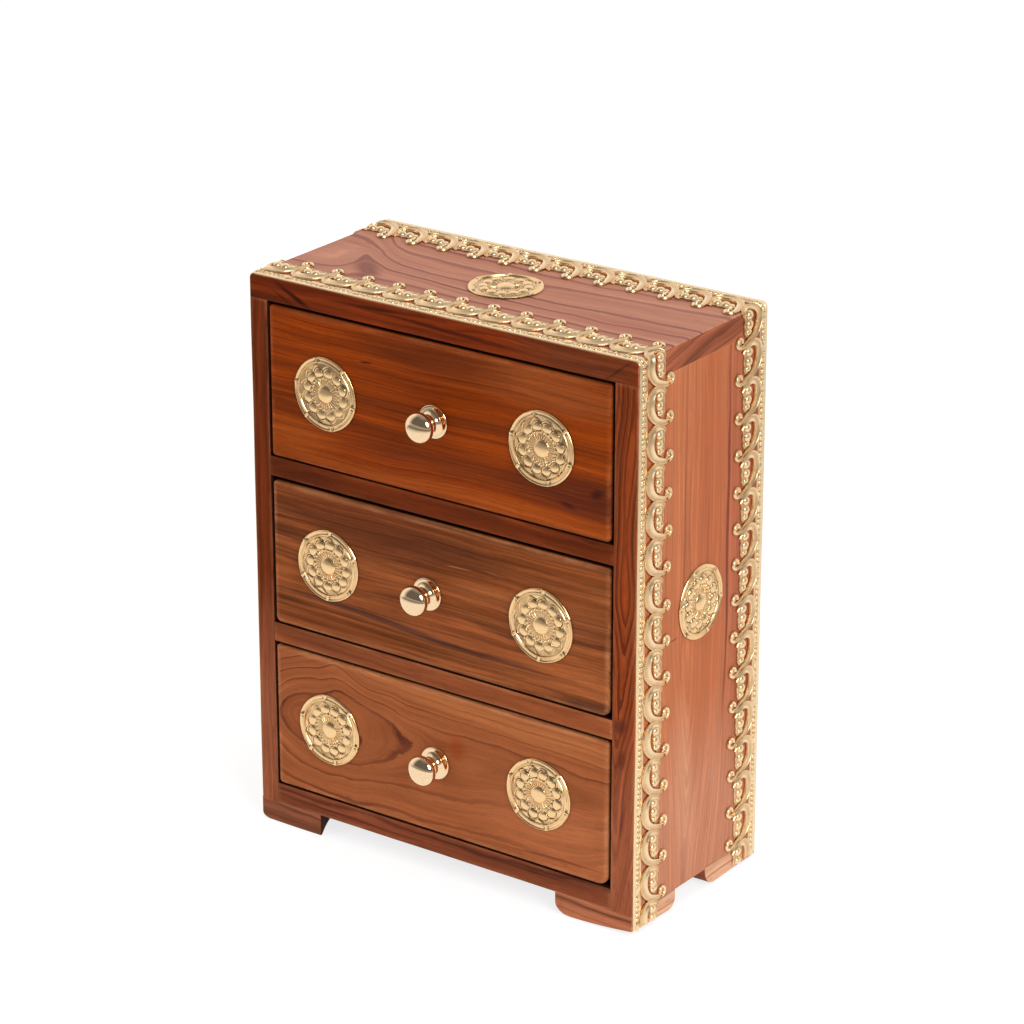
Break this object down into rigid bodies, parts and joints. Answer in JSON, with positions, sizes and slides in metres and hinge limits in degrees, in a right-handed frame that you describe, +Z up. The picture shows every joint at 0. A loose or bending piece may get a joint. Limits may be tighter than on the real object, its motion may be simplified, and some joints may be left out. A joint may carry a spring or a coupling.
{
  "type": "chest of drawers",
  "caption": "Small tabletop wooden chest with full-width sliding drawers, turned brass knobs, embossed brass edge strips and pressed medallions, standing on block feet.",
  "frame": {"origin": "on the floor, under the middle of the bounding box, whose front is the tip of the knobs", "axes": "+Z up, drawers open towards -Y, +X to the right seen from the front"},
  "size_m": [0.205, 0.1104, 0.2591],
  "materials": {
    "teak": "satin lacquered teak, straight grain",
    "dark_teak": "satin lacquered dark teak",
    "teak_front": "satin lacquered teak with figured grain",
    "pale_wood": "raw sawn wood",
    "ply": "raw plywood",
    "strip_brass": "embossed brass",
    "medallion_brass": "pressed brass",
    "polished_brass": "polished brass",
    "steel": "plain steel"
  },
  "bodies": {
    "carcass": {"top_board": "teak", "left_side_panel": "teak", "right_side_panel": "teak", "bottom_board": "dark_teak", "lower_divider": "dark_teak", "upper_divider": "dark_teak", "back_panel": "ply", "front_left_foot": "dark_teak", "front_right_foot": "dark_teak", "rear_left_foot": "dark_teak", "rear_right_foot": "dark_teak", "front_strip": "strip_brass", "rear_strip": "strip_brass", "top_medallion": "medallion_brass", "left_side_medallion": "medallion_brass", "right_side_medallion": "medallion_brass", "bottom_board_left_front_nail": "steel", "bottom_board_left_rear_nail": "steel", "bottom_board_right_front_nail": "steel", "bottom_board_right_rear_nail": "steel", "lower_divider_left_front_nail": "steel", "lower_divider_left_rear_nail": "steel", "lower_divider_right_front_nail": "steel", "lower_divider_right_rear_nail": "steel", "upper_divider_left_front_nail": "steel", "upper_divider_left_rear_nail": "steel", "upper_divider_right_front_nail": "steel", "upper_divider_right_rear_nail": "steel", "top_left_front_nail": "steel", "top_left_rear_nail": "steel", "top_right_front_nail": "steel", "top_right_rear_nail": "steel"},
    "top_drawer": {"top_drawer_front": "teak_front", "top_drawer_left_side": "pale_wood", "top_drawer_right_side": "pale_wood", "top_drawer_back": "pale_wood", "top_drawer_bottom": "ply", "top_knob": "polished_brass", "top_knob_screw": "steel", "top_drawer_left_medallion": "medallion_brass", "top_drawer_right_medallion": "medallion_brass"},
    "middle_drawer": {"middle_drawer_front": "teak_front", "middle_drawer_left_side": "pale_wood", "middle_drawer_right_side": "pale_wood", "middle_drawer_back": "pale_wood", "middle_drawer_bottom": "ply", "middle_knob": "polished_brass", "middle_knob_screw": "steel", "middle_drawer_left_medallion": "medallion_brass", "middle_drawer_right_medallion": "medallion_brass"},
    "bottom_drawer": {"bottom_drawer_front": "teak_front", "bottom_drawer_left_side": "pale_wood", "bottom_drawer_right_side": "pale_wood", "bottom_drawer_back": "pale_wood", "bottom_drawer_bottom": "ply", "bottom_knob": "polished_brass", "bottom_knob_screw": "steel", "bottom_drawer_left_medallion": "medallion_brass", "bottom_drawer_right_medallion": "medallion_brass"}
  },
  "joints": [
    {"name": "top_drawer_slide", "type": "slide", "parent": "carcass", "child": "top_drawer", "axis": [0, -1, 0], "range_m": [0, 0.065]},
    {"name": "middle_drawer_slide", "type": "slide", "parent": "carcass", "child": "middle_drawer", "axis": [0, -1, 0], "range_m": [0, 0.065]},
    {"name": "bottom_drawer_slide", "type": "slide", "parent": "carcass", "child": "bottom_drawer", "axis": [0, -1, 0], "range_m": [0, 0.065]}
  ]
}
